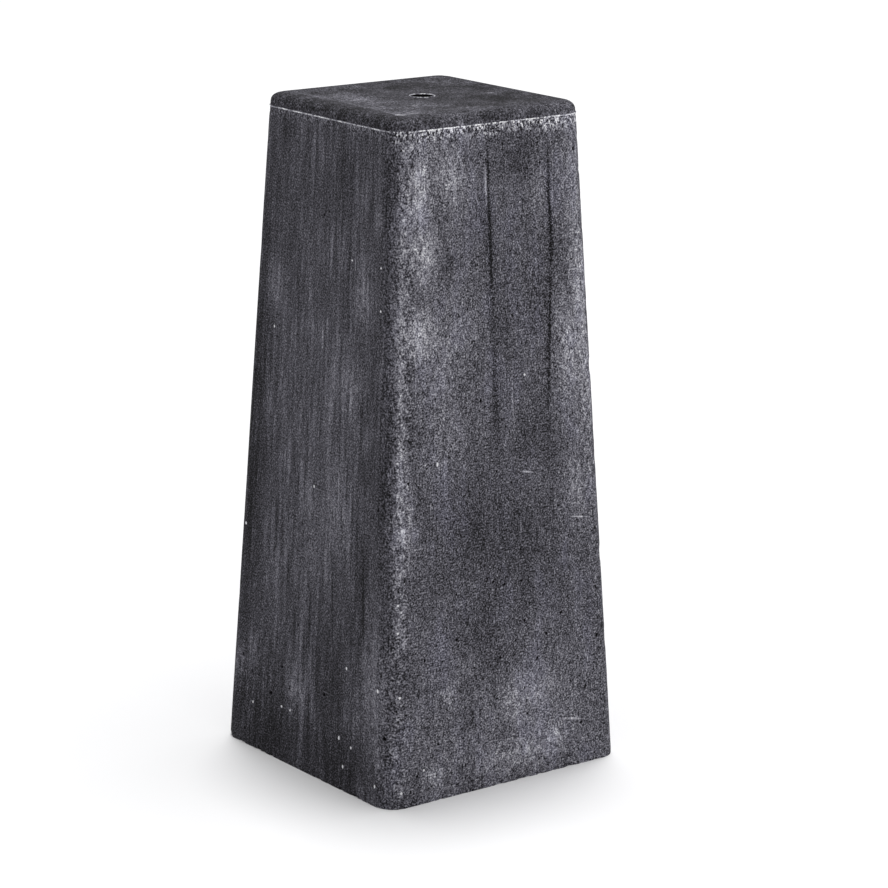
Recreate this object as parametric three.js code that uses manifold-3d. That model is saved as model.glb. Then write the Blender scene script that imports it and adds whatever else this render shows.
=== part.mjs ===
// A cast concrete column base: a tapered square block that carries a timber post.
// Millimetres, +Z up. The origin is the middle of the underside, and X and Y run square to the side faces.
import * as THREE from "three";
import { LoftGeometry } from "three/addons/geometries/LoftGeometry.js";
import { mergeVertices } from "three/addons/utils/BufferGeometryUtils.js";
import Module from "manifold-3d";

// Body: four flat sides that lean in, with rounded upright corners
const BLOCK_HEIGHT = 500;
const FOOT_SIDE = 219;
const SEAM_SIDE = 170; // between the sides at the seam, where the body meets the crown
const CORNER_RADIUS = 17;

// Crown: the rounded edge round the flat top, which starts at the seam left by the mould
const CROWN_HEIGHT = 9.5;
const CROWN_RUN = 16; // how far the curve reaches in from the seam
const CROWN_FULLNESS = 3; // 2 is a quarter ellipse; more stands up steeper and turns in later
const SEAM_STEP = 0.5; // the crown sits in from the body by this much
const SMALLEST_CORNER = 0.5; // the corners keep at least this radius as the crown closes in

// Bore: a blind hole in the middle of the top for the threaded rod of a post foot
const BORE_DIAMETER = 17;
const BORE_DEPTH = 200;
const BORE_RIM = 1; // the worn edge at the mouth, across and down
const BORE_END_CHAMFER = 2.5;

// How finely the curves are cut into flats
const CORNER_STEPS = 12;
const CROWN_STEPS = 9;
const BORE_STEPS = 48;
const MERGE_DISTANCE = 1e-4; // points closer than this are one point

const CONCRETE = new THREE.MeshStandardMaterial({
  color: 0x5a5a60,
  roughness: 0.88,
  metalness: 0,
});

// One level ring of the block: a square with rounded corners, anticlockwise from above
function ring(side, radius, z) {
  const half = side / 2;
  const corner = Math.min(radius, half);
  const outline = new THREE.Path();
  const centres = [
    [half - corner, half - corner],
    [corner - half, half - corner],
    [corner - half, corner - half],
    [half - corner, corner - half],
  ];
  centres.forEach(([x, y], quarter) => {
    const start = (quarter * Math.PI) / 2;
    outline.absarc(x, y, corner, start, start + Math.PI / 2, false);
  });
  const points = outline.curves.flatMap((curve) =>
    curve.type === "EllipseCurve" ? curve.getPoints(CORNER_STEPS) : [],
  );
  return points.map((point) => new THREE.Vector3(point.x, point.y, z));
}

// The rings of the crown follow a quarter of a superellipse from the seam up to the flat top
function crownRings(seamHeight) {
  const base = SEAM_SIDE - 2 * SEAM_STEP;
  const cornerAtSeam = CORNER_RADIUS - SEAM_STEP;
  const power = 2 / CROWN_FULLNESS;
  const rings = [];
  for (let step = 0; step <= CROWN_STEPS; step++) {
    const turn = ((step / CROWN_STEPS) * Math.PI) / 2;
    const inset = CROWN_RUN * (1 - Math.cos(turn) ** power);
    const corner = Math.max(cornerAtSeam - inset, SMALLEST_CORNER);
    const z = seamHeight + CROWN_HEIGHT * Math.sin(turn) ** power;
    rings.push(ring(base - 2 * inset, corner, z));
  }
  return rings;
}

function blockGeometry() {
  const seamHeight = BLOCK_HEIGHT - CROWN_HEIGHT;
  const sections = [
    ring(FOOT_SIDE, CORNER_RADIUS, 0),
    ring(SEAM_SIDE, CORNER_RADIUS, seamHeight),
    ...crownRings(seamHeight),
  ];
  return new LoftGeometry(sections, { capStart: true, capEnd: true });
}

// The space that the bore takes out, turned about Z, with its mouth carried past the top
function boreGeometry() {
  const radius = BORE_DIAMETER / 2;
  const end = BLOCK_HEIGHT - BORE_DEPTH;
  const past = BORE_RIM;
  const profile = [
    new THREE.Vector2(0, end),
    new THREE.Vector2(radius - BORE_END_CHAMFER, end),
    new THREE.Vector2(radius, end + BORE_END_CHAMFER),
    new THREE.Vector2(radius, BLOCK_HEIGHT - BORE_RIM),
    new THREE.Vector2(radius + BORE_RIM + past, BLOCK_HEIGHT + past),
    new THREE.Vector2(0, BLOCK_HEIGHT + past),
  ];
  return new THREE.LatheGeometry(profile, BORE_STEPS).rotateX(Math.PI / 2);
}

const wasm = await Module();
wasm.setup();

function toSolid(geometry) {
  const bare = new THREE.BufferGeometry();
  bare.setAttribute("position", geometry.getAttribute("position"));
  bare.setIndex(geometry.getIndex());
  const merged = mergeVertices(bare, MERGE_DISTANCE);
  return new wasm.Manifold(
    new wasm.Mesh({
      numProp: 3,
      vertProperties: new Float32Array(merged.attributes.position.array),
      triVerts: new Uint32Array(merged.index.array),
    }),
  );
}

function toGeometry(solid) {
  const { vertProperties, triVerts } = solid.getMesh();
  const geometry = new THREE.BufferGeometry();
  geometry.setAttribute("position", new THREE.BufferAttribute(vertProperties, 3));
  geometry.setIndex(new THREE.BufferAttribute(triVerts, 1));
  geometry.computeVertexNormals();
  return geometry;
}

// The whole casting is one solid: the block less its bore
const casting = toSolid(blockGeometry()).subtract(toSolid(boreGeometry()));
const columnBaseBlock = new THREE.Mesh(toGeometry(casting), CONCRETE);
columnBaseBlock.name = "column_base_block";

const columnBase = new THREE.Group();
columnBase.add(columnBaseBlock);

export default columnBase;
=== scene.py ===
"""A tapered column base of dark cast concrete, with its mould seam, air holes, lime bloom and rod hole.

The casting is drawn up from its foot outline row by row, leaned in and worn with seeded dents, then its air
holes and pale sand grains are cut into the mesh. Everything is in metres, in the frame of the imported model.
"""

import math
import random
from functools import partial

import bmesh
import bpy
import numpy as np
from mathutils import Matrix, Vector, kdtree, noise


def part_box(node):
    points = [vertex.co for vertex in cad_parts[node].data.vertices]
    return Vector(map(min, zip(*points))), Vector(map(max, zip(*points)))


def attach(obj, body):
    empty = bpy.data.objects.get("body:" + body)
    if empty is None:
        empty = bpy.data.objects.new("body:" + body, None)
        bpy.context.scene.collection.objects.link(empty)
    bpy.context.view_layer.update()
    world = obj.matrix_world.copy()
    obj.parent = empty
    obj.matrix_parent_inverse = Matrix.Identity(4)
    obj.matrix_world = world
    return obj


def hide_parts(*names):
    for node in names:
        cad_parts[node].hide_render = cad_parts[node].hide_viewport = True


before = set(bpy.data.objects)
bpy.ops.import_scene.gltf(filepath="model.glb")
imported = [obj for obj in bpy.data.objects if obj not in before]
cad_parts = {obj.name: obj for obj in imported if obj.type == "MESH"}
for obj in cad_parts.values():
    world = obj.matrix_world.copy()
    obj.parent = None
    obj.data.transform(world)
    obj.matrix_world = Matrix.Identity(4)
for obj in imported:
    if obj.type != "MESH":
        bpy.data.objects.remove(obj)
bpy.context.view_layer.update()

MM = 0.001
BLOCK = "column_base_block"
high_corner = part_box(BLOCK)[1]

# Body
FOOT_HALF = high_corner.x
TOP = high_corner.z
SEAM_HALF = 85 * MM
CORNER_RADIUS = 17 * MM
CROWN_HEIGHT = 9.5 * MM
CROWN_RUN = 16 * MM
SEAM_STEP = 0.5 * MM
FIN_REACH = 0.3 * MM  # the fin at the seam stands this far out
SMALLEST_RADIUS = 0.1 * MM  # the upright corners keep at least this as the crown closes in
SEAM_HEIGHT = TOP - CROWN_HEIGHT
CORE_HALF = FOOT_HALF - CORNER_RADIUS
LEAN = (FOOT_HALF - SEAM_HALF) / SEAM_HEIGHT

# Rod hole
BORE_RADIUS = 8.5 * MM
BORE_DEPTH = 200 * MM
BORE_CHAMFER = 2.5 * MM
LIP_WIDTH = 1.2 * MM
LIP_DEPTH = 0.7 * MM  # how far down the worn edge of the hole reaches
TOP_DISH = 0.6 * MM  # the lip round the hole stands this far over the flat

# Mesh
CORNER_STEPS = 12
SIDE_STEPS = 96
ROW_STEP = 3.4 * MM
FINE_STEP = 1.1 * MM
FOOT_BAND = 5 * MM
SEAM_BAND = 15 * MM  # below the seam, where rows lie close and the paste has crumbled
FIN_STEP = 0.45 * MM
CROWN_TURNS = [0, 12, 24, 36, 48, 58, 68, 76, 82, 86, 88.5, 89.6, 90]  # degrees round the crown's curve
SHARP_ANGLE = 48.0  # edges that turn by more than this many degrees stay sharp

# Camera, as in the photo
VIEW_AZIMUTH = -36.545
VIEW_ELEVATION = 14.201
VIEW_ROLL = 0.336
VIEW_DISTANCE = 2.5107
LENS_MM = 135.83
AIM_RIGHT = 17.45 * MM
AIM_UP = -12.76 * MM

# Stage
FLOOR_HALF = 12.0
SKY_STRENGTH = 0.53

# Soft lights: azimuth, elevation and spread in degrees, then strength
LIGHTS = {"overhead_softbox": (141, 80, 15, 1.80), "side_softbox": (38, 50, 80, 0.62)}

SEED = 31

# The four sides: which way each faces, and the axis that runs from its left edge to its right
LEFT, RIGHT, FAR_LEFT, FAR_RIGHT = "left", "right", "far_left", "far_right"
ON_TOP = "top"
FACING = {FAR_RIGHT: 0.0, FAR_LEFT: 90.0, LEFT: 180.0, RIGHT: 270.0}
ACROSS = {LEFT: ("Y", -1), RIGHT: ("X", 1), FAR_LEFT: ("X", -1), FAR_RIGHT: ("Y", 1)}

# What the mould and the weather left on each side, and the tones of the sides and the top, which carry some
# painted light and shade
GRIT = {LEFT: 0.12, RIGHT: 1.0, FAR_RIGHT: 0.6, FAR_LEFT: 0.4}
CRUMBLE = {LEFT: 0.42, RIGHT: 1.0, FAR_RIGHT: 0.35, FAR_LEFT: 0.6}
# Partly painted light and shade: the left side is painted darker and the right side lighter, as the light
# falls on them; the rest is each side's own tone
SHADE = {LEFT: 0.274, RIGHT: 0.329, FAR_RIGHT: 0.30, FAR_LEFT: 0.28}
CROWN_FULLNESS = {LEFT: 3.5, RIGHT: 2.9, FAR_RIGHT: 2.9, FAR_LEFT: 3.5}
# Partly painted shade: the crown is darker than the flat top where its rounding turns away from the light;
# partly its smoother, darker skin
CROWN_SHADE = {LEFT: 0.200, RIGHT: 0.240, FAR_RIGHT: 0.210, FAR_LEFT: 0.195}
FLAT_SHADE = 0.208
RIDGE_HIGHLIGHT = {LEFT: 0.08, RIGHT: 0.03, FAR_RIGHT: 0.03, FAR_LEFT: 0.03}  # a painted highlight, more on the flat's outer edge
WORN_SPREAD = 32.0  # degrees either way round the front corner over which its wear fades


def smooth_step(low, high, value):
    t = np.clip((value - low) / (high - low), 0.0, 1.0)
    return t * t * (3.0 - 2.0 * t)


def noise_at(points, size, stretch=(1.0, 1.0, 1.0), octaves=3):
    """Fractal noise, about -1 to 1, whose largest lumps are size metres across."""
    scale = [1.0 / (size * s) for s in stretch]
    return np.array([
        noise.fractal(Vector((p[0] * scale[0], p[1] * scale[1], p[2] * scale[2])), 0.9, 2.1, octaves)
        for p in points
    ])


def side_amount(angle, side, blend=12.0):
    """How far a point that faces this angle belongs to a side; sides meet half way round a corner."""
    away = np.abs((angle - FACING[side] + 180.0) % 360.0 - 180.0)
    return 1.0 - smooth_step(45.0 - blend, 45.0 + blend, away)


def by_side(angle, amounts):
    return sum(side_amount(angle, side) * amount for side, amount in amounts.items())


def front_corner(angle):
    """One on the corner between the left and the right side, where the casting is most worn."""
    middle = (FACING[LEFT] + FACING[RIGHT]) / 2
    return np.exp(-((angle - middle) / WORN_SPREAD) ** 2)


def half_at(height):
    return FOOT_HALF - LEAN * np.minimum(height, SEAM_HEIGHT)


def row_heights():
    """Heights of the mesh rows up the side: close at the foot and under the seam, wider between."""
    foot = np.arange(0.0, FOOT_BAND, FINE_STEP)
    start, end = FOOT_BAND, SEAM_HEIGHT - SEAM_BAND
    middle = np.linspace(start, end, round((end - start) / ROW_STEP), endpoint=False)
    fine_end = SEAM_HEIGHT - 1.5 * FIN_STEP
    fine = np.linspace(end, fine_end, round((fine_end - end) / FINE_STEP), endpoint=False)
    fin = fine_end + FIN_STEP * np.arange(4)
    crown = SEAM_HEIGHT + CROWN_HEIGHT * np.sin(np.radians(CROWN_TURNS)) ** (2 / 3)
    crown = crown[crown > fin[-1] + FIN_STEP / 2]
    return np.concatenate([foot, middle, fine, fin, crown])


def ring_in(bm, rim, place):
    """Draws a ring of edges on to new places, each given by a function of the old one."""
    drawn = bmesh.ops.extrude_edge_only(bm, edges=rim)["geom"]
    fresh = {g for g in drawn if isinstance(g, bmesh.types.BMVert)}
    for vert in fresh:
        vert.co = place(vert.co)
    return [g for g in drawn if isinstance(g, bmesh.types.BMEdge) and fresh.issuperset(g.verts)]


def upright_shell(bm):
    """The foot outline drawn straight up, before it leans. Returns the lowest and the highest ring."""
    corners = bmesh.ops.create_grid(bm, x_segments=1, y_segments=1, size=FOOT_HALF)["verts"]
    bmesh.ops.bevel(
        bm, geom=corners, offset=CORNER_RADIUS, segments=CORNER_STEPS, profile=0.5,
        affect="VERTICES", material=-1,
    )
    bmesh.ops.delete(bm, geom=bm.faces[:], context="FACES_ONLY")
    long_edges = [edge for edge in bm.edges if edge.calc_length() > CORNER_RADIUS]
    bmesh.ops.subdivide_edges(bm, edges=long_edges, cuts=SIDE_STEPS - 1)
    foot = bm.edges[:]
    rim = foot
    for height in row_heights()[1:]:
        rim = ring_in(bm, rim, lambda point, height=height: Vector((point.x, point.y, height)))
    return foot, rim


def coordinates(bm):
    return np.array([vert.co for vert in bm.verts])


def seam_profile(height, angle):
    """How far the side stands in from its straight line, from the seam's step up round the crown."""
    rise = np.clip((height - SEAM_HEIGHT) / CROWN_HEIGHT, 0.0, 1.0)
    fullness = by_side(angle, CROWN_FULLNESS)
    curve = CROWN_RUN * (1.0 - (1.0 - rise ** fullness) ** (1.0 / fullness))
    return np.where(height > SEAM_HEIGHT + FIN_STEP, SEAM_STEP + curve, 0.0)


def fin_amount(height):
    """One on the thin fin that the mould left at the seam."""
    return 1.0 - smooth_step(0.8 * FIN_STEP, 1.2 * FIN_STEP, np.abs(height - SEAM_HEIGHT))


def fin_breaks(points, angle):
    """One where the fin is whole, less where it has crumbled away."""
    waver = noise_at(points, 9 * MM, octaves=3)
    loss = np.maximum(by_side(angle, CRUMBLE), front_corner(angle))
    return 1.0 - loss * smooth_step(-0.25, 0.25, waver + 0.6 * front_corner(angle))


# Knocks that show in the outline or at the seam: x, y and height in mm, reach and depth in mm
KNOCKS = [
    (-81.7, 78.1, 487, 2.8, 1.1), (-78, -82, 489, 3.4, 1.4), (-83, -76, 487.5, 2.6, 1.0),
    (-72, -85, 488, 2.2, 0.9), (79, -82, 488, 2.4, 0.6), (-109, 60, 1, 6, 0.8), (60, -109, 1, 7, 0.7),
]


def dents(points, angle):
    """Depth of every dent in the side, in metres inwards; points are on the upright shell."""
    grit = by_side(angle, GRIT)
    crumble = by_side(angle, CRUMBLE)
    height = points[:, 2]
    body = 1.0 - smooth_step(SEAM_HEIGHT - FIN_STEP, SEAM_HEIGHT + FIN_STEP, height)
    wave = 0.16 * MM * (1.0 + noise_at(points, 70 * MM, (1, 1, 1.8), 2))
    trail = 0.05 * MM * (1.0 + noise_at(points, 6 * MM, (1, 1, 18), 2))
    lumps = 0.10 * MM * grit * (1.0 + noise_at(points, 5 * MM, octaves=3))
    depth = body * (wave + trail + lumps) + (1.0 - body) * 0.5 * wave

    below = SEAM_HEIGHT - FIN_STEP - height
    band = smooth_step(0.0, 1.0 * MM, below) * (1.0 - smooth_step(3 * MM, 12 * MM, below))
    rough = noise_at(points, 4.0 * MM, octaves=4)
    depth += body * band * crumble * 0.9 * MM * smooth_step(0.0, 0.6, rough)

    foot = 1.0 - smooth_step(0.6 * MM, 4.5 * MM, height)
    chips = noise_at(points, 8 * MM, octaves=4)
    depth += foot * (0.25 * MM + 1.1 * MM * smooth_step(0.1, 0.55, chips))

    corner = np.minimum(np.abs(points[:, 0]), np.abs(points[:, 1])) / CORE_HALF
    on_corner = smooth_step(0.98, 1.04, corner) * np.maximum(grit, front_corner(angle))
    bites = noise_at(points, 13 * MM, (1, 1, 1.6), 4)
    depth += body * on_corner * 0.8 * MM * smooth_step(0.15, 0.6, bites)
    return np.maximum(depth, 0.0)


def draw_in(bm):
    """Leans the upright shell, rounds its crown and sinks its dents."""
    points = coordinates(bm)
    core = np.clip(points[:, :2], -CORE_HALF, CORE_HALF)
    outward = (points[:, :2] - core) / CORNER_RADIUS
    angle = np.degrees(np.arctan2(outward[:, 1], outward[:, 0])) % 360.0
    height = points[:, 2]
    shrink = (half_at(height) - CORNER_RADIUS) / CORE_HALF
    fin = fin_amount(height) * fin_breaks(points, angle)
    profile = seam_profile(height, angle)
    sunk = dents(points, angle)
    leaned = points.copy()
    leaned[:, :2] = core * shrink[:, None] + outward * (CORNER_RADIUS - profile)[:, None]
    for x, y, z, reach, sink in KNOCKS:
        away = np.linalg.norm(leaned - np.array([x, y, z]) * MM, axis=1) / (reach * MM)
        sunk += sink * MM * (1.0 - smooth_step(0.3, 1.0, away))
    depth = profile + sunk * (1.0 - fin) - FIN_REACH * fin
    radius = np.maximum(CORNER_RADIUS - depth, SMALLEST_RADIUS)
    placed = core * shrink[:, None] + outward * radius[:, None]
    for vert, place in zip(bm.verts, placed):
        vert.co.xy = place


def on_circle(radius, height):
    """A place function: the same direction from the middle line, on a circle."""
    def place(point):
        flat = Vector((point.x, point.y, 0)).normalized() * radius
        return Vector((flat.x, flat.y, height))
    return place


def close_top(bm, rim):
    """The flat top, drawn in ring by ring to the lip of the hole, and the hole below it."""
    lip = BORE_RADIUS + LIP_WIDTH
    shares = [0.015, 0.04, 0.08, 0.13, 0.20, 0.28, 0.37, 0.47, 0.58, 0.69, 0.79, 0.88, 0.94, 0.98]
    done = 0.0
    for share in shares:
        step = (share - done) / (1.0 - done)
        sink = TOP_DISH * min(1.0, share / 0.2)

        def place(point, step=step, sink=sink):
            reach = math.hypot(point.x, point.y)
            new = reach + (lip - reach) * step
            ripple = 0.12 * MM * (1 + noise.fractal(Vector((point.x, point.y, 0)) / (25 * MM), 0.9, 2.1, 3))
            return Vector((point.x * new / reach, point.y * new / reach, TOP - sink - min(sink, ripple)))

        rim = ring_in(bm, rim, place)
        done = share
    end = TOP - BORE_DEPTH
    profile = [
        (lip + 0.25 * MM, TOP - TOP_DISH),
        (lip, TOP - 0.2 * TOP_DISH),
        (BORE_RADIUS + 0.7 * LIP_WIDTH, TOP),
        (BORE_RADIUS + 0.4 * LIP_WIDTH, TOP - 0.15 * LIP_DEPTH),
        (BORE_RADIUS + 0.1 * LIP_WIDTH, TOP - 0.6 * LIP_DEPTH),
        (BORE_RADIUS, TOP - LIP_DEPTH),
        (BORE_RADIUS, TOP - 1.3 * LIP_DEPTH),
        (BORE_RADIUS, TOP - 0.2 * BORE_DEPTH),
        (BORE_RADIUS, end + BORE_CHAMFER),
        (BORE_RADIUS - BORE_CHAMFER, end),
    ]
    for radius, height in profile:
        rim = ring_in(bm, rim, on_circle(radius, height))
    bmesh.ops.edgeloop_fill(bm, edges=rim)


def close_foot(bm, rim):
    for share in (0.97, 0.6, 0.2):
        rim = ring_in(bm, rim, lambda point, share=share: Vector((point.x * share, point.y * share, 0)))
    bmesh.ops.edgeloop_fill(bm, edges=rim)


def place_on(side, share, height):
    """A point on a side: share runs from -1 at its left edge to 1 at its right, seen from outside."""
    half = half_at(height)
    facing = math.radians(FACING[side])
    axis, sign = ACROSS[side]
    point = Vector((math.cos(facing) * half, math.sin(facing) * half, height))
    point["XY".index(axis)] = sign * share * half
    return point


# Air holes that the photo shows: side, share across, height and radius in mm
AIR_HOLES = [
    (LEFT, 0.09, 233, 1.0), (LEFT, -0.33, 195, 1.0), (LEFT, -0.12, 189, 1.2), (LEFT, -0.01, 146, 1.2),
    (LEFT, 0.02, 421, 1.0), (LEFT, -0.84, 290, 1.3), (LEFT, -0.79, 69, 1.5), (LEFT, -0.66, 61, 1.2),
    (LEFT, -0.58, 60, 0.9), (LEFT, -0.29, 73, 1.4), (LEFT, -0.42, 51, 1.8), (LEFT, -0.12, 110, 1.0),
    (LEFT, 0.22, 67, 1.7), (LEFT, 0.83, 219, 1.2), (LEFT, 0.93, 53, 1.6), (LEFT, -0.19, 59, 0.9),
    (RIGHT, 0.86, 467, 1.5), (RIGHT, 0.53, 204, 1.1), (RIGHT, -0.08, 155, 1.2), (RIGHT, 0.02, 152, 1.1),
    (RIGHT, 0.18, 152, 1.2), (RIGHT, 0.39, 106, 1.2), (RIGHT, -0.42, 118, 1.1), (RIGHT, 0.83, 98, 1.3),
    (RIGHT, -0.70, 108, 1.2), (RIGHT, 0.52, 122, 1.1), (RIGHT, 0.30, 89, 1.1), (RIGHT, -0.03, 97, 1.1),
    (RIGHT, 0.72, 60, 1.2), (RIGHT, -0.58, 41, 1.1), (RIGHT, 0.66, 33, 1.3), (RIGHT, -0.75, 22, 1.2),
    (RIGHT, -0.86, 240, 1.2), (RIGHT, -0.17, 293, 1.1), (RIGHT, 0.48, 458, 1.1), (RIGHT, 0.20, 120, 1.1),
]

# Pale sand grains that stand out: side, share across, height and radius in mm
PALE_GRAINS = [
    (LEFT, -0.85, 172, 1.5), (LEFT, 0.48, 92, 1.1), (LEFT, 0.86, 88, 1.2), (LEFT, -0.28, 41, 1.3),
    (LEFT, -0.63, 36, 1.0), (LEFT, 0.42, 39, 1.3), (LEFT, 0.56, 37, 1.1), (LEFT, 0.48, 19, 1.1),
    (LEFT, 0.85, 15, 1.1), (LEFT, 0.43, 395, 0.9), (LEFT, 0.82, 363, 1.0), (LEFT, -0.62, 328, 0.9),
    (LEFT, 0.81, 395, 0.9), (LEFT, 0.02, 219, 0.9), (LEFT, -0.18, 42, 0.9),
    (RIGHT, -0.59, 249, 1.2), (RIGHT, 0.26, 305, 1.0), (RIGHT, -0.93, 152, 1.0), (RIGHT, -0.94, 132, 1.0),
    (RIGHT, -0.90, 207, 1.2), (RIGHT, -0.89, 13, 1.1), (RIGHT, -0.90, 85, 1.1), (RIGHT, -0.71, 26, 0.9),
]

# How deep the holes go and how far the grains stand out, as shares of their radius
HOLE_SINK = 1.1
GRAIN_SINK = -0.15

# How many more small air holes are scattered over each side, and close under its seam
SCATTER = {LEFT: (70, 6), RIGHT: (240, 60), FAR_RIGHT: (130, 24), FAR_LEFT: (110, 36)}


def scattered_holes():
    """Small air holes, thicker towards the foot, where the mould was filled last."""
    rng = random.Random(SEED)
    holes = []
    for side, (on_face, at_seam) in SCATTER.items():
        for _ in range(on_face):
            share = rng.uniform(-0.95, 0.95)
            height = 470 * rng.random() ** 1.9 + 6
            holes.append((side, share, height, rng.uniform(0.45, 0.85)))
        for _ in range(at_seam):
            share = rng.uniform(-0.98, 0.95)
            height = 488 - 11 * rng.random() ** 1.5
            holes.append((side, share, height, rng.uniform(0.50, 0.75)))
    return holes


def open_cells(bm, marks):
    """Joins the four cells round the vertex nearest each mark and returns (face, mark) pairs."""
    bm.verts.ensure_lookup_table()
    tree = kdtree.KDTree(len(bm.verts))
    for index, vert in enumerate(bm.verts):
        tree.insert(vert.co, index)
    tree.balance()
    taken = set()
    chosen = []
    for mark in marks:
        side, share, height, _ = mark
        spot = place_on(side, share, height * MM)
        vert = bm.verts[tree.find(spot)[1]]
        around = {near for face in vert.link_faces for near in face.verts}
        if len(vert.link_faces) == 4 and len(around) == 9 and not around & taken:
            taken |= around
            chosen.append((vert, mark))
    faces_of = [(list(vert.link_faces), vert.co.copy(), mark) for vert, mark in chosen]
    doomed = [face for faces, _, _ in faces_of for face in faces]
    regions = bmesh.ops.dissolve_faces(bm, faces=doomed, use_verts=False)["region"]
    by_place = kdtree.KDTree(len(regions))
    for index, face in enumerate(regions):
        by_place.insert(face.calc_center_median(), index)
    by_place.balance()
    return [(regions[by_place.find(spot)[1]], mark) for _, spot, mark in faces_of]


def shape_marks(bm, pairs, layer, sink):
    """Cuts each joined cell to a small uneven round and sinks it, or lifts it where sink is below 0."""
    rng = random.Random(SEED + 1)
    faces = [face for face, _ in pairs]
    bmesh.ops.inset_individual(bm, faces=faces, thickness=0.3 * MM)
    for face, mark in pairs:
        radius = mark[3] * MM
        middle = face.calc_center_median()
        normal = face.normal.copy()
        first = (face.verts[0].co - middle).normalized()
        second = normal.cross(first)
        stretch = rng.uniform(0.9, 1.5)
        for index, vert in enumerate(face.verts):
            turn = 2 * math.pi * index / len(face.verts)
            reach = radius * rng.uniform(0.85, 1.15)
            vert.co = middle + first * math.cos(turn) * reach + second * math.sin(turn) * reach
            vert.co.z = middle.z + (vert.co.z - middle.z) * stretch
    floors = bmesh.ops.extrude_discrete_faces(bm, faces=faces)["faces"]
    for face in floors:
        face.normal_update()
        middle = face.calc_center_median()
        radius = sum((vert.co - middle).length for vert in face.verts) / len(face.verts)
        for vert in face.verts:
            vert.co = middle + (vert.co - middle) * 0.8 - face.normal * sink * radius
            vert[layer] = 1.0
    for point in bmesh.ops.poke(bm, faces=floors, offset=0.0)["verts"]:
        point[layer] = 1.0


def casting_mesh():
    bm = bmesh.new()
    hole_layer = bm.verts.layers.float.new("air_hole")
    grain_layer = bm.verts.layers.float.new("pale_grain")
    foot_rim, top_rim = upright_shell(bm)
    draw_in(bm)
    close_top(bm, top_rim)
    close_foot(bm, foot_rim)
    bmesh.ops.recalc_face_normals(bm, faces=bm.faces[:])
    holes = AIR_HOLES + scattered_holes()
    pairs = open_cells(bm, PALE_GRAINS + holes)
    grains = [pair for pair in pairs if pair[1] in PALE_GRAINS]
    pits = [pair for pair in pairs if pair[1] not in PALE_GRAINS]
    shape_marks(bm, grains, grain_layer, GRAIN_SINK)
    shape_marks(bm, pits, hole_layer, HOLE_SINK)
    bmesh.ops.recalc_face_normals(bm, faces=bm.faces[:])
    for face in bm.faces:
        face.smooth = True
    mesh = bpy.data.meshes.new("concrete_casting")
    bm.to_mesh(mesh)
    bm.free()
    mesh.set_sharp_from_angle(angle=math.radians(SHARP_ANGLE))
    return mesh


# Clouds of lime bloom, seen as paler patches, and a few bands of painted light on the right side's corners:
# side, share across, height, half width and half height in mm, then strength. On the top, share and height
# are x and y as shares of the seam's half width.
BLOOM_AND_HIGHLIGHTS = [
    (RIGHT, -0.76, 449, 11, 28, 1.20), (RIGHT, -0.72, 403, 13, 22, 1.15), (RIGHT, -0.74, 345, 15, 18, 1.20),
    (RIGHT, -0.88, 478, 8, 10, 0.80), (RIGHT, -0.60, 477, 20, 10, 0.45), (RIGHT, -0.44, 457, 16, 22, 0.85),
    (RIGHT, -0.20, 483, 14, 5, 0.40), (LEFT, 0.94, 480, 6, 8, 0.70), (RIGHT, 0.00, 488, 80, 2, 0.20),
    (RIGHT, 0.47, 439, 9, 24, 0.40), (RIGHT, 0.71, 318, 14, 44, 0.90), (RIGHT, -0.89, 207, 9, 30, 0.85),
    (RIGHT, 0.72, 214, 8, 30, 0.60), (RIGHT, -0.50, 78, 5, 9, 0.65), (RIGHT, 0.09, 60, 22, 22, 0.70),
    (RIGHT, 0.05, 40, 95, 48, 0.34),
    (RIGHT, 0.43, 27, 11, 12, 0.90), (RIGHT, 0.08, 20, 44, 15, 0.80), (RIGHT, -0.61, 18, 9, 11, 0.80),
    # Painted light: the entries at share -0.92 are a paler band down the right side's rounded front corner,
    # where it turns towards the light
    (RIGHT, 0.30, 64, 22, 16, 0.60), (RIGHT, -0.92, 320, 6, 190, 0.85), (RIGHT, -0.50, 330, 34, 40, 0.40),
    # Painted light: the entries at share 0.86 and 0.85 are a paler strip down the right side's far corner,
    # which catches more light
    (RIGHT, -0.45, 270, 28, 40, 0.30), (RIGHT, 0.86, 350, 12, 110, 1.00), (RIGHT, 0.70, 484, 18, 5, 0.45),
    (RIGHT, -0.92, 110, 8, 70, 0.30), (RIGHT, -0.30, 95, 12, 10, 0.40), (RIGHT, 0.85, 240, 8, 60, 0.45),
    (LEFT, -0.11, 60, 12, 13, 0.60), (LEFT, -0.82, 63, 5, 14, 0.50), (LEFT, -0.63, 360, 11, 15, 0.45),
    (LEFT, 0.59, 366, 12, 24, 0.50), (LEFT, 0.77, 427, 4, 9, 0.60), (LEFT, 0.45, 300, 16, 34, 0.30),
    (LEFT, 0.28, 225, 24, 50, 0.30), (LEFT, -0.05, 190, 24, 60, 0.28), (LEFT, -0.25, 290, 18, 60, 0.18),
    (LEFT, 0.80, 70, 14, 60, 0.50), (LEFT, -0.17, 43, 5, 3, 0.60), (LEFT, 0.62, 60, 12, 24, 0.30),
    (ON_TOP, -0.55, 0.10, 14, 34, 0.70), (ON_TOP, -0.40, -0.40, 20, 14, 0.60),
    (ON_TOP, 0.62, 0.50, 12, 12, 0.40), (ON_TOP, 0.60, -0.19, 10, 7, 0.60),
    (ON_TOP, -0.70, -0.70, 14, 10, 0.70), (ON_TOP, -0.30, -0.72, 30, 6, 0.40),
]
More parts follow.
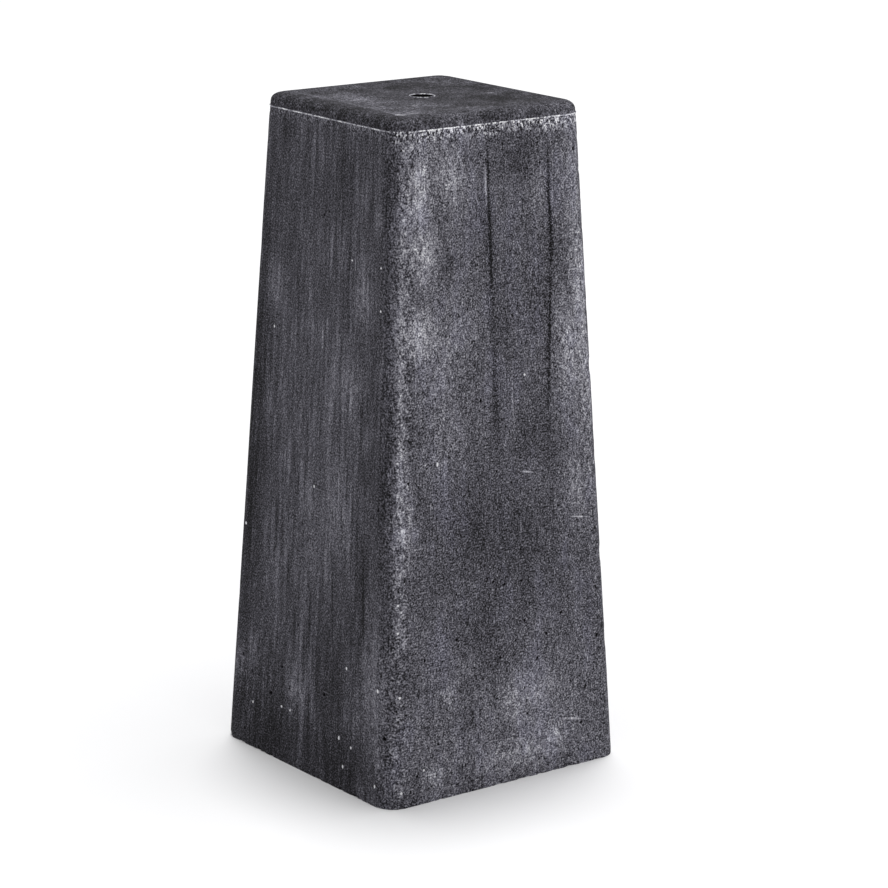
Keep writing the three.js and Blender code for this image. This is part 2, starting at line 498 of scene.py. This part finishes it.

# Damp, darker places, and some painted shade, in the same terms
DAMP_AND_SHADE = [
    (RIGHT, -0.30, 467, 12, 12, 0.60), (RIGHT, -0.16, 422, 10, 26, 0.50), (RIGHT, -0.46, 395, 10, 11, 0.60),
    (RIGHT, 0.27, 462, 16, 13, 0.80), (RIGHT, 0.33, 255, 20, 24, 0.70), (RIGHT, -0.36, 202, 28, 42, 0.65),
    (RIGHT, 0.10, 180, 32, 60, 0.75), (RIGHT, -0.15, 130, 30, 28, 0.50), (RIGHT, -0.33, 55, 9, 10, 0.75),
    (RIGHT, 0.88, 90, 8, 50, 0.40), (RIGHT, 0.05, 330, 16, 60, 0.50), (RIGHT, 0.40, 370, 12, 50, 0.40),
    (RIGHT, 0.80, 126, 8, 22, 0.40), (RIGHT, 0.48, 150, 14, 40, 0.45), (RIGHT, 0.15, 100, 40, 12, 0.30),
    # Painted shade on the left side: the entry at share -0.84 darkens its far corner, which turns away from
    # the light, and those at 0.90 and 0.93 darken the shaded half of its rounded front corner
    (LEFT, -0.84, 240, 16, 160, 1.30), (LEFT, 0.90, 420, 6, 90, 0.50), (LEFT, 0.90, 250, 7, 110, 0.55),
    # Painted shade: the entries at heights 22 and 20 darken the left side near its foot, where less light
    # reaches
    (LEFT, 0.93, 150, 8, 60, 0.40), (LEFT, -0.50, 22, 54, 42, 1.20), (LEFT, 0.20, 80, 24, 40, 0.70),
    (LEFT, 0.60, 288, 6, 10, 0.80), (LEFT, 0.62, 240, 8, 14, 0.50), (LEFT, 0.30, 20, 60, 26, 0.85),
    (LEFT, -0.55, 474, 14, 12, 0.50), (LEFT, 0.30, 460, 12, 20, 0.40), (LEFT, 0.62, 150, 8, 60, 0.45),
    (ON_TOP, 0.40, -0.40, 26, 20, 0.90), (ON_TOP, 0.30, 0.55, 34, 14, 0.60),
    (ON_TOP, 0.25, -0.70, 34, 8, 0.60), (ON_TOP, 0.65, 0.10, 12, 20, 0.60),
    (ON_TOP, -0.10, 0.10, 16, 12, 0.45),
]

# Narrow marks: side, share, height, half width and half height in mm, turn in degrees, change of tone.
# On the top, share and height are x and y as shares of the seam's half width. Widths are those before the
# sides leaned in.
MARKS = [
    (RIGHT, -0.062, 458, 2.0, 30, 2.3, -0.22), (RIGHT, -0.050, 402, 2.8, 54, 2.0, -0.32),
    (RIGHT, -0.055, 400, 10, 86, 2.0, -0.09), (RIGHT, -0.030, 300, 5.0, 62, 1.0, -0.12),
    (RIGHT, -0.085, 446, 1.8, 20, 2.3, 0.34), (RIGHT, 0.570, 425, 2.6, 58, -0.9, -0.32),
    (RIGHT, 0.555, 420, 9.0, 70, -0.9, -0.08), (RIGHT, 0.512, 325, 2.4, 80, -5.0, -0.22),
    (RIGHT, 0.500, 325, 7.0, 88, -5.0, -0.06), (RIGHT, 0.440, 250, 4.5, 1.8, 20, -0.14),
    (RIGHT, 0.142, 282, 1.3, 34, 1.0, 0.22), (RIGHT, 0.260, 232.5, 9.5, 1.1, -9, 0.32),
    (RIGHT, 0.740, 191, 17, 1.1, -9, 0.30), (RIGHT, 0.180, 191, 1.2, 15, 0.5, 0.20),
    (RIGHT, 0.600, 36.5, 22, 1.6, -11, 0.22), (RIGHT, -0.752, 83, 1.8, 5.5, 0, -0.22),
    (RIGHT, -0.333, 135, 1.5, 14, 0, -0.15), (RIGHT, 0.520, 421, 17, 0.6, 17, 0.08),
    (LEFT, 0.327, 230, 1.2, 42, 3.0, 0.14), (LEFT, -0.268, 147, 2.0, 32, 4.7, -0.08),
    (LEFT, 0.012, 121, 2.4, 42, 4.0, -0.09), (LEFT, 0.292, 137, 2.0, 48, 3.3, -0.11),
    (LEFT, 0.388, 194, 1.6, 32, 3.1, -0.10), (LEFT, 0.670, 155, 2.4, 68, 2.4, -0.15),
    (LEFT, 0.480, 58, 2.6, 16, 3.0, 0.12), (LEFT, 0.450, 297, 2.4, 18, 8.0, 0.08),
    (LEFT, 0.249, 289, 1.5, 13, 3.0, -0.09), (LEFT, 0.818, 356, 1.7, 9, 0, -0.13),
    (LEFT, -0.030, 467, 1.8, 17, 3.0, 0.07), (LEFT, -0.170, 380, 1.6, 20, 3.0, 0.06),
    (LEFT, 0.034, 386, 1.6, 15, 3.0, 0.06), (LEFT, -0.640, 44, 1.6, 9, 0, 0.08),
    (ON_TOP, -0.80, -0.78, 9.0, 4.5, -31, 0.50), (ON_TOP, -0.66, -0.80, 4.0, 4.0, -31, 0.30),
    (ON_TOP, -0.76, -0.40, 2.5, 12, 4, 0.12), (ON_TOP, 0.60, -0.19, 9.0, 5.0, -31, 0.14),
]

# A row of short pale drags, half way up the left side
MARKS += [(LEFT, -0.14 + 0.065 * step, 336 + 5 * (step % 3), 1.2, 11, 2.5, 0.09) for step in range(8)]


def scattered_clouds(first_seed, strength):
    """Clouds for the two sides that the photo doesn't show."""
    rng = random.Random(first_seed)
    return [
        (
            side, rng.uniform(-0.9, 0.9), rng.uniform(10, 480), rng.uniform(6, 28), rng.uniform(12, 70),
            strength * rng.uniform(0.4, 1.0),
        )
        for side in (FAR_LEFT, FAR_RIGHT)
        for _ in range(15)
    ]


def scattered_marks():
    """A few drips and scratches for the two sides that the photo doesn't show."""
    rng = random.Random(SEED + 4)
    return [
        (side, rng.uniform(-0.8, 0.8), rng.uniform(60, 430), 1.1, rng.uniform(15, 60), 2.0, tone)
        for side in (FAR_LEFT, FAR_RIGHT)
        for tone in (-0.12, -0.10, 0.08, 0.10)
    ]


def cloud_amounts(points, members, clouds):
    """The strongest cloud at each point, 0 where there is none."""
    half = half_at(points[:, 2])
    total = np.zeros(len(points))
    for side, share, middle, half_width, half_height, strength in clouds:
        if side == ON_TOP:
            offset = (points[:, 0] - share * SEAM_HALF) / (half_width * MM)
            rise = (points[:, 1] - middle * SEAM_HALF) / (half_height * MM)
        else:
            axis, sign = ACROSS[side]
            offset = (sign * points[:, "XY".index(axis)] - share * half) / (half_width * MM)
            rise = (points[:, 2] - middle * MM) / (half_height * MM)
        total = np.maximum(total, strength * np.exp(-offset ** 2 - rise ** 2) * members[side])
    return total


def paint(mesh):
    """Stores what the finish needs to know at each point, one named amount for each trait."""
    points = np.zeros(len(mesh.vertices) * 3)
    mesh.vertices.foreach_get("co", points)
    points = points.reshape(-1, 3)
    height = points[:, 2]
    core_half = (half_at(height) - CORNER_RADIUS)[:, None]
    outward = points[:, :2] - np.clip(points[:, :2], -core_half, core_half)
    angle = np.degrees(np.arctan2(outward[:, 1], outward[:, 0])) % 360.0
    above = smooth_step(SEAM_HEIGHT, SEAM_HEIGHT + 1.0 * MM, height)
    under = smooth_step(SEAM_HEIGHT - SEAM_BAND, SEAM_HEIGHT - 0.5 * MM, height) * (1.0 - above)
    inset = SEAM_HALF - np.abs(points[:, :2]).max(axis=1)
    flat = smooth_step(CROWN_RUN - 2.5 * MM, CROWN_RUN + 1.5 * MM, inset) * above
    reach = np.hypot(points[:, 0], points[:, 1])
    lip = smooth_step(TOP - LIP_DEPTH, TOP - 0.7 * LIP_DEPTH, height) * (
        1.0 - smooth_step(BORE_RADIUS + LIP_WIDTH, BORE_RADIUS + LIP_WIDTH + 0.2 * MM, reach)
    )
    # Painted shade: the rod hole's wall below the lip is painted near black, like the air holes
    bore = 1.0 - smooth_step(TOP - 1.2 * LIP_DEPTH, TOP - LIP_DEPTH, height)
    bore *= reach < BORE_RADIUS + 0.1 * MM
    # The left side turns sandy close to the front corner
    edge = smooth_step(0.84, 0.97, -points[:, 1] / half_at(height)) * side_amount(angle, LEFT)
    line = fin_amount(height) * np.maximum(fin_breaks(points, angle), 0.75 * (1.0 - front_corner(angle)))
    members = {side: side_amount(angle, side, 30.0) * (1.0 - above) for side in FACING}
    members[ON_TOP] = above
    around = np.degrees(np.arctan2(points[:, 1], points[:, 0])) % 360.0
    # Painted highlight: a paler band on the flat just inside the ridge, strongest on the left
    near_edge = 1.0 - smooth_step(CROWN_RUN + 3 * MM, CROWN_RUN + 14 * MM, inset)
    ridge_highlight = flat * near_edge * by_side(around, RIDGE_HIGHLIGHT)
    # Partly painted shade: the crown is darker than the flat where it turns away from the light
    crown_shade = by_side(angle, CROWN_SHADE)
    top_shade = crown_shade + flat * (FLAT_SHADE - crown_shade) + ridge_highlight
    shade = by_side(angle, SHADE) * (1.0 - above) + above * top_shade
    # Painted shade: the air holes are painted near black
    hollow = np.zeros(len(mesh.vertices), dtype=np.float32)
    mesh.attributes["air_hole"].data.foreach_get("value", hollow)
    values = {
        "shade": shade,
        "grit": np.maximum(by_side(angle, GRIT), 0.85 * edge) * (1.0 - above),
        "crumble": np.maximum(by_side(angle, CRUMBLE), front_corner(angle)) * under,
        "bloom": cloud_amounts(points, members, BLOOM_AND_HIGHLIGHTS + scattered_clouds(SEED + 2, 0.7)),
        "damp": cloud_amounts(points, members, DAMP_AND_SHADE + scattered_clouds(SEED + 3, 0.6)),
        "lime": np.maximum(line, 0.9 * lip),
        "polish": above,
        "hollow": np.maximum(hollow, bore),
    }
    values.update({"on_" + side: amounts for side, amounts in members.items()})
    for name, amounts in values.items():
        mesh.attributes.new(name, "FLOAT", "POINT").data.foreach_set("value", amounts.astype(np.float32))


def linear(hex_colour):
    """An sRGB hex colour as a linear one."""
    channels = [int(hex_colour[i:i + 2], 16) / 255 for i in (1, 3, 5)]
    return [c / 12.92 if c <= 0.04045 else ((c + 0.055) / 1.055) ** 2.4 for c in channels] + [1.0]


def add(tree, kind, settings=None, out=0, stops=(), **inputs):
    """Adds a node with its settings, ramp stops and inputs, and returns one of its outputs.

    An input is a value, or a socket to link from. _2 picks the input by number, From_Min by name.
    """
    node = tree.nodes.new("ShaderNode" + kind)
    for name, value in (settings or {}).items():
        setattr(node, name, value)
    for index, (position, hex_colour) in enumerate(stops):
        elements = node.color_ramp.elements
        element = elements[index] if index < 2 else elements.new(position)
        element.position = position
        element.color = linear(hex_colour)
    for name, value in inputs.items():
        socket = node.inputs[int(name[1:]) if name[0] == "_" else name.replace("_", " ")]
        if isinstance(value, bpy.types.NodeSocket):
            tree.links.new(value, socket)
        else:
            socket.default_value = value
    return node if out is None else node.outputs[out]


# The finish in layers of noise: lump width in mm, height over width, detail, roughness, then how far the tone
# swings on a smooth side, on a gritty side and on the top. Real sand is finer than the last layer, which is
# drawn as coarse as it needs to show.
LAYERS = {
    "pour": (90, 2.4, 3.0, 0.55, 0.12, 0.14, 0.08),
    "patches": (20, 2.2, 4.0, 0.62, 0.18, 0.32, 0.50),
    "drag": (3.6, 13, 2.0, 0.55, 0.48, 0.12, 0.0),
    "clumps": (4.2, 1.4, 3.0, 0.70, 0.24, 0.52, 0.45),
    "sand": (1.4, 0.9, 1.5, 0.60, 1.00, 1.40, 1.10),
}
PINHOLE_SPACING = 3.4  # mm between the middles of the cells that may hold one
DAMP_AND_SHADE_TONE = -0.12  # how far damp and painted shade darken the tone
HOLLOW_SHADE_TONE = 0.02  # the tone down in a hole, painted shade
GRAIN_TONE = 0.85  # the tone of a pale sand grain


def narrow_marks(put, straight, traits, wobble):
    """The sum of the drips, scratches and scuffs, as a change of tone."""
    marks = MARKS + scattered_marks()
    total = 0.0
    for side in [*FACING, ON_TOP]:
        if side == ON_TOP:
            plane = put("CombineXYZ", X=straight["X"], Y=straight["Y"])
        else:
            axis, sign = ACROSS[side]
            across = put("Math", {"operation": "MULTIPLY_ADD"}, _0=straight[axis], _1=sign, _2=wobble)
            plane = put("CombineXYZ", X=across, Y=straight["Z"])
        on_side = 0.0
        for mark_side, share, height, half_width, half_height, turn, tone in marks:
            if mark_side != side:
                continue
            rise = height * (FOOT_HALF if side == ON_TOP else MM)
            placed = put(
                "Mapping", {"vector_type": "TEXTURE"}, Vector=plane, Location=(share * FOOT_HALF, rise, 0),
                Rotation=(0, 0, math.radians(turn)), Scale=(half_width * MM, half_height * MM, 1),
            )
            away = put("VectorMath", {"operation": "LENGTH"}, out="Value", _0=placed)
            amount = put(
                "MapRange", {"interpolation_type": "SMOOTHSTEP"}, Value=away,
                From_Min=0.15, From_Max=1.0, To_Min=tone, To_Max=0.0,
            )
            on_side = put("Math", _0=amount, _1=on_side)
        total = put("Math", {"operation": "MULTIPLY_ADD"}, _0=on_side, _1=traits["on_" + side], _2=total)
    return total


def cast_concrete():
    """Concrete coloured through with dark oxide and cast in a smooth steel mould.

    To the eye: a matt, near black grey with soft drag marks, sandy speckle, chalky lime bloom in clouds and a
    bright line of lime on the seam; the top, cast against the mould's floor, is closer grained. Its tone also
    carries painted light: shade in the holes, on the crown and on the corners turned from the light, and
    highlights on the lit corners and along the ridge.
    """
    material = bpy.data.materials.new("anthracite_cast_concrete")
    material.use_nodes = True
    material.node_tree.nodes.clear()
    put = partial(add, material.node_tree)

    names = ["shade", "grit", "crumble", "bloom", "damp", "lime", "polish", "hollow", "pale_grain"]
    names += ["on_" + side for side in [*FACING, ON_TOP]]
    traits = {name: put("Attribute", {"attribute_name": name}, out="Fac") for name in names}

    # The place on the block before it leaned, so that drag marks run along the leaning sides
    parts = put("SeparateXYZ", Vector=put("TexCoord", out="Object")).node.outputs
    width = put("Math", {"operation": "MULTIPLY_ADD"}, _0=parts["Z"], _1=-LEAN / FOOT_HALF, _2=1.0)
    straight = {axis: put("Math", {"operation": "DIVIDE"}, _0=parts[axis], _1=width) for axis in "XY"}
    straight["Z"] = parts["Z"]
    upright = put("CombineXYZ", X=straight["X"], Y=straight["Y"], Z=straight["Z"])

    tone = traits["shade"]
    lumps = {}
    for name, (size, tall, detail, roughness, smooth, gritty, top) in LAYERS.items():
        stretched = put("Mapping", Vector=upright, Scale=(1, 1, 1 / tall))
        lumps[name] = put(
            "TexNoise", Vector=stretched, Scale=1 / (size * MM), Detail=detail, Roughness=roughness
        )
        swing = put("MapRange", Value=traits["grit"], To_Min=smooth, To_Max=gritty)
        swing = put("MapRange", Value=traits["polish"], To_Min=swing, To_Max=top)
        if name == "drag":
            hold = put(
                "MapRange", Value=lumps["patches"], From_Min=0.4, From_Max=0.62, To_Min=0.3, To_Max=1.4
            )
            swing = put("Math", {"operation": "MULTIPLY"}, _0=swing, _1=hold)
        level = put("Math", {"operation": "SUBTRACT"}, _0=lumps[name], _1=0.5)
        tone = put("Math", {"operation": "MULTIPLY_ADD"}, _0=level, _1=swing, _2=tone)

    # Bloom and the painted light on the corners lie in broken clouds, damp and painted shade are more even
    broken = put("MapRange", Value=lumps["clumps"], From_Min=0.32, From_Max=0.62, To_Min=0.08, To_Max=0.32)
    tone = put("Math", {"operation": "MULTIPLY_ADD"}, _0=traits["bloom"], _1=broken, _2=tone)
    tone = put("Math", {"operation": "MULTIPLY_ADD"}, _0=traits["damp"], _1=DAMP_AND_SHADE_TONE, _2=tone)

    # Drips and scratches, which wander a little and are broken up by the grain
    waver = put("TexNoise", Vector=upright, Scale=1 / (40 * MM), Detail=1.0)
    wobble = put("MapRange", Value=waver, To_Min=-1.8 * MM, To_Max=1.8 * MM)
    marks = narrow_marks(put, straight, traits, wobble)
    gaps = put("MapRange", Value=lumps["sand"], From_Min=0.35, From_Max=0.6, To_Min=1.25, To_Max=0.7)
    tone = put("Math", {"operation": "MULTIPLY_ADD"}, _0=marks, _1=gaps, _2=tone)

    # Pinholes in the sandy face, in about one cell in three, painted dark as shade in the pores
    cells = put("TexVoronoi", Vector=upright, Scale=1 / (PINHOLE_SPACING * MM), out="Distance")
    chance = put("SeparateColor", Color=cells.node.outputs["Color"])
    chosen = put("MapRange", Value=chance, From_Min=0.60, From_Max=0.70)
    pinholes = put("MapRange", Value=cells, From_Min=0.30, From_Max=0.16, To_Max=-0.20)
    pinholes = put("Math", {"operation": "MULTIPLY"}, _0=pinholes, _1=chosen)
    tone = put("Math", {"operation": "MULTIPLY_ADD"}, _0=pinholes, _1=traits["grit"], _2=tone)

    # Crumbled paste under the seam: white flecks between pits painted dark as shade, deeper in some places
    # than in others
    flecks = put("TexNoise", Vector=upright, Scale=1 / (2.0 * MM), Detail=2.0, Roughness=0.6)
    crumbs = put("MapRange", Value=flecks, From_Min=0.36, From_Max=0.66, To_Min=-0.36, To_Max=0.70)
    runs = put("TexNoise", Vector=upright, Scale=1 / (11 * MM), Detail=2.0)
    held_back = put("MapRange", Value=runs, From_Min=0.35, From_Max=0.65, To_Max=0.40)
    crumbled = put("Math", {"operation": "SUBTRACT", "use_clamp": True}, _0=traits["crumble"], _1=held_back)
    tone = put("Math", {"operation": "MULTIPLY_ADD"}, _0=crumbled, _1=crumbs, _2=tone)

    # The lime line on the seam and the lip, broken here and there, then the painted shade down in the holes
    # and the pale grains
    worn = put("TexNoise", Vector=upright, Scale=1 / (5 * MM), Detail=3.0)
    kept = put("MapRange", Value=worn, From_Min=0.36, From_Max=0.56, To_Min=0.24, To_Max=0.62)
    tone = put("Math", {"operation": "MULTIPLY_ADD"}, _0=traits["lime"], _1=kept, _2=tone)
    tone = put("MapRange", Value=traits["hollow"], To_Min=tone, To_Max=HOLLOW_SHADE_TONE)
    tone = put("MapRange", Value=traits["pale_grain"], To_Min=tone, To_Max=GRAIN_TONE)

    colour = put("ValToRGB", out="Color", Fac=tone, stops=[
        (0.0, "#050506"), (1.0, "#ffffff"), (0.08, "#141316"), (0.2, "#313035"), (0.3, "#4a4950"),
        (0.4, "#63626a"), (0.55, "#898890"), (0.75, "#bcbcc2"),
    ])
    hue = put("MapRange", Value=lumps["patches"], From_Min=0.50, From_Max=0.66, To_Max=0.30)
    hue = put("Math", {"operation": "MULTIPLY"}, _0=hue, _1=traits["grit"])
    colour = put(
        "Mix", {"data_type": "RGBA", "blend_type": "MULTIPLY"}, out=2,
        _0=hue, _6=colour, _7=linear("#e9e9ff"),
    )

    relief = put("Math", {"operation": "MULTIPLY"}, _0=lumps["clumps"], _1=0.8)
    relief = put("Math", _0=relief, _1=lumps["sand"])
    relief = put("Math", {"operation": "MULTIPLY_ADD"}, _0=pinholes, _1=4.0, _2=relief)
    height = put("MapRange", Value=traits["grit"], To_Min=0.3, To_Max=1.0)
    relief = put("Math", {"operation": "MULTIPLY"}, _0=relief, _1=height)
    bump = put("Bump", Height=relief, Strength=0.8, Distance=0.4 * MM)
    rough = put("MapRange", Value=traits["polish"], To_Min=0.92, To_Max=0.86)
    shader = put(
        "BsdfPrincipled", Base_Color=colour, Roughness=rough, IOR=1.5, Specular_IOR_Level=0.2, Normal=bump
    )
    put("OutputMaterial", out=None, Surface=shader)
    return material


def studio_floor():
    """A matt painted studio floor: an even off white that takes soft shadows."""
    material = bpy.data.materials.new("matt_studio_floor")
    material.use_nodes = True
    material.node_tree.nodes.clear()
    put = partial(add, material.node_tree)
    paint_coat = put("BsdfPrincipled", Base_Color=linear("#f2f2f3"), Roughness=0.9)
    put("OutputMaterial", out=None, Surface=paint_coat)
    return material


def make_piece(name, mesh, material):
    piece = bpy.data.objects.new(name, mesh)
    bpy.context.scene.collection.objects.link(piece)
    mesh.materials.append(material)
    return piece


def make_floor():
    bm = bmesh.new()
    bmesh.ops.create_grid(bm, x_segments=1, y_segments=1, size=FLOOR_HALF)
    mesh = bpy.data.meshes.new("studio_floor")
    bm.to_mesh(mesh)
    bm.free()
    make_piece("studio_floor", mesh, studio_floor())


def direction(azimuth, elevation):
    """Unit vector towards a place at this azimuth and elevation; azimuth 0 is on the -Y side."""
    a, e = math.radians(azimuth), math.radians(elevation)
    return Vector((math.sin(a) * math.cos(e), -math.cos(a) * math.cos(e), math.sin(e)))


def make_light():
    """Soft light from above and a little behind, a weaker one from the right, and an even white sky."""
    for name, (azimuth, elevation, spread, strength) in LIGHTS.items():
        data = bpy.data.lights.new(name, "SUN")
        data.energy = strength
        data.angle = math.radians(spread)
        lamp = bpy.data.objects.new(name, data)
        bpy.context.scene.collection.objects.link(lamp)
        lamp.rotation_euler = direction(azimuth, elevation).to_track_quat("Z", "Y").to_euler()
    world = bpy.data.worlds.new("studio")
    world.use_nodes = True
    sky = world.node_tree.nodes["Background"]
    sky.inputs["Color"].default_value = linear("#ffffff")
    sky.inputs["Strength"].default_value = SKY_STRENGTH
    bpy.context.scene.world = world
    bpy.context.scene.view_settings.view_transform = "Standard"


def make_camera():
    """The photo's camera, found from the block's outline."""
    back = direction(VIEW_AZIMUTH, VIEW_ELEVATION)
    middle = Vector((0, 0, TOP / 2))
    right = Vector((0, 0, 1)).cross(back).normalized()
    up = back.cross(right)
    aim = middle + right * AIM_RIGHT + up * AIM_UP
    data = bpy.data.cameras.new("photo_camera")
    data.lens = LENS_MM
    data.sensor_width = 36.0
    camera = bpy.data.objects.new("photo_camera", data)
    bpy.context.scene.collection.objects.link(camera)
    camera.location = middle + back * VIEW_DISTANCE
    turn = (aim - camera.location).to_track_quat("-Z", "Y").to_matrix().to_4x4()
    roll = Matrix.Rotation(math.radians(VIEW_ROLL), 4, "Z")
    camera.matrix_world = Matrix.Translation(camera.location) @ turn @ roll
    bpy.context.scene.camera = camera


make_camera()
make_light()
make_floor()

casting = make_piece("concrete_casting", casting_mesh(), cast_concrete())
paint(casting.data)
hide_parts(BLOCK)
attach(casting, "root")
